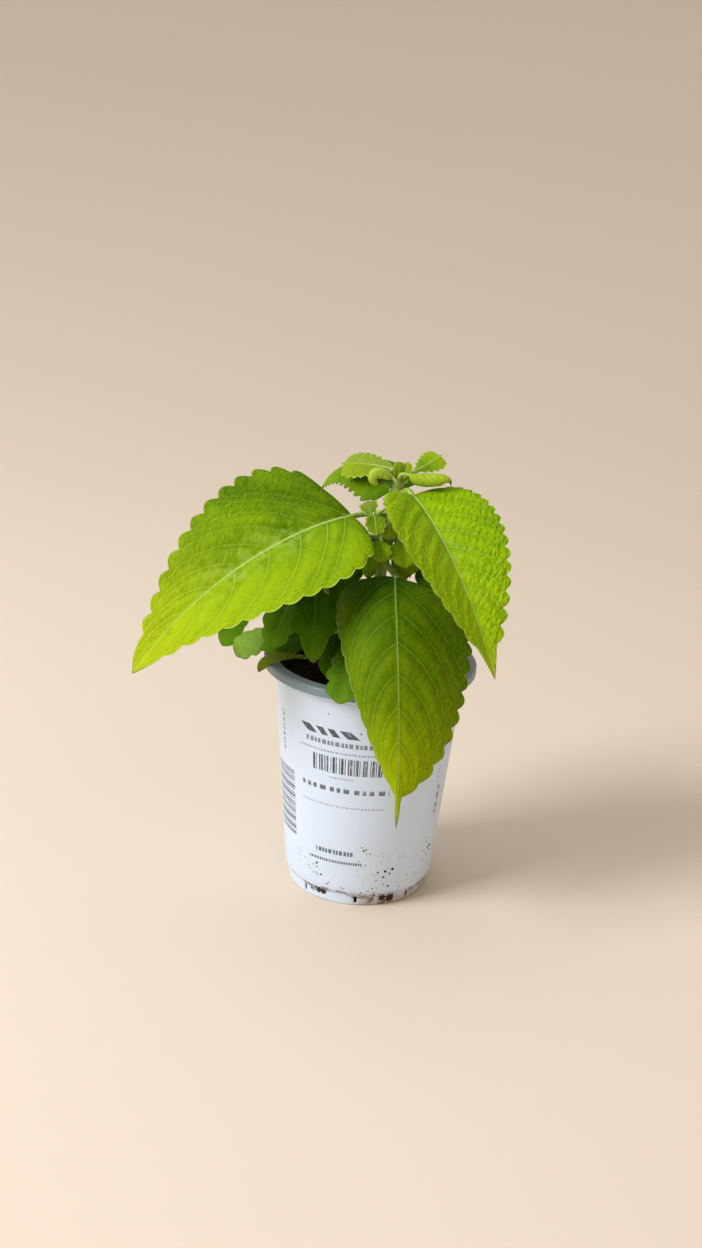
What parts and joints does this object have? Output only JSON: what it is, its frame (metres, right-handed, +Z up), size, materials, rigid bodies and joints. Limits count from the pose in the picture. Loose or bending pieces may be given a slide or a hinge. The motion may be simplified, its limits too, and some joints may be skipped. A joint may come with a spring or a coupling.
{
  "type": "coleus in a nursery pot",
  "caption": "Young lime-green coleus with broad toothed leaves on an upright stem, rooted in soil in a tapered round nursery pot with a turned lip.",
  "frame": {"origin": "middle of the underside of the pot's foot, on the surface that the pot stands on", "axes": "+Z up along the pot's axis; -Y towards the front leaf; -X towards the long left leaf"},
  "size_m": [0.1761, 0.1565, 0.2267],
  "materials": {
    "pot_plastic": "satin white, grey on the lip and inside, with dark plain print marks and soil stains",
    "soil": "dark moist peat",
    "stem": "pale green, finely hairy",
    "leaf_bright": "bright lime green, velvety",
    "leaf_shaded": "deeper olive green, velvety",
    "leaf_young": "pale lime green, soft"
  },
  "bodies": {
    "root": {"pot": "pot_plastic", "soil": "soil", "stem": "stem", "leaf_left": "leaf_bright", "leaf_right": "leaf_bright", "leaf_front": "leaf_shaded", "leaf_back_left": "leaf_shaded", "leaf_back_right": "leaf_bright", "leaf_back": "leaf_shaded", "young_leaf_back_left": "leaf_young", "young_leaf_back_right": "leaf_young", "curled_leaf_left": "leaf_young", "curled_leaf_right": "leaf_young", "side_shoot_left": "leaf_young", "side_shoot_front": "leaf_shaded", "side_shoot_right": "leaf_shaded", "low_shoot_left": "leaf_shaded", "low_shoot_front_left": "leaf_shaded", "low_shoot_front": "leaf_shaded", "low_shoot_right": "leaf_shaded", "low_shoot_back": "leaf_shaded", "low_shoot_back_left": "leaf_shaded"}
  },
  "joints": []
}
